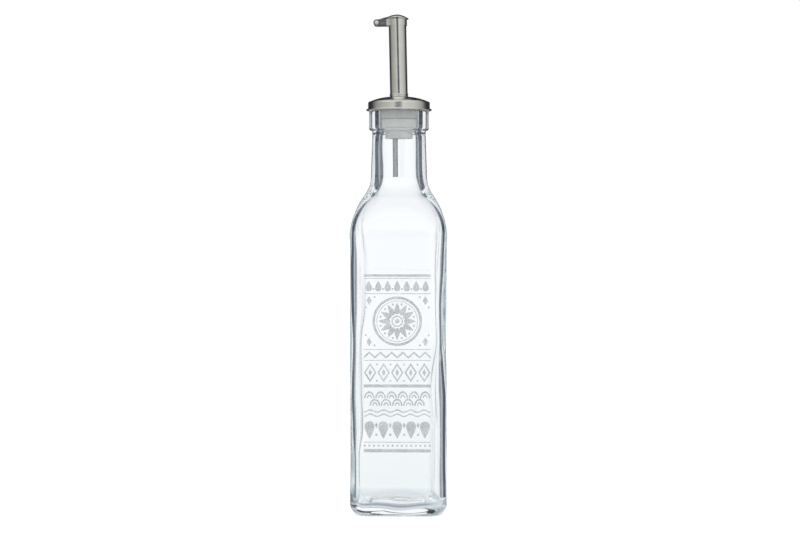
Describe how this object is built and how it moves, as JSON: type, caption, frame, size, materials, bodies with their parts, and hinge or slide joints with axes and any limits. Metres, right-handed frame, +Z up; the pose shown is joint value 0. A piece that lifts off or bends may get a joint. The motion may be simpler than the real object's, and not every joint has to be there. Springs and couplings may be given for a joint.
{
  "type": "oil and vinegar bottle",
  "caption": "Empty square clear-glass oil bottle with a round neck and a steel pourer whose spout has a hinged flap lid.",
  "frame": {"origin": "centre of the base, in the plane the bottle stands on", "axes": "+Z up along the bottle, +X across the front away from the lid's hinge, +Y towards the back"},
  "size_m": [0.058, 0.058, 0.3003],
  "materials": {
    "clear_glass": "clear, polished, faintly cool",
    "clouded_plastic": "translucent, satin",
    "satin_steel": "satin"
  },
  "bodies": {
    "bottle_and_pourer": {"bottle": "clear_glass", "stopper": "clouded_plastic", "air_tube": "satin_steel", "pourer_cap": "satin_steel", "spout_tube": "satin_steel", "hinge_sleeve": "satin_steel", "rivet": "satin_steel"},
    "flap": {"lid": "satin_steel"}
  },
  "joints": [
    {"name": "lid_hinge", "type": "hinge", "parent": "bottle_and_pourer", "child": "flap", "pos_m": [-0.01344, 0, 0.29518], "axis": [0, -1, 0], "range_deg": [0, 100]}
  ]
}
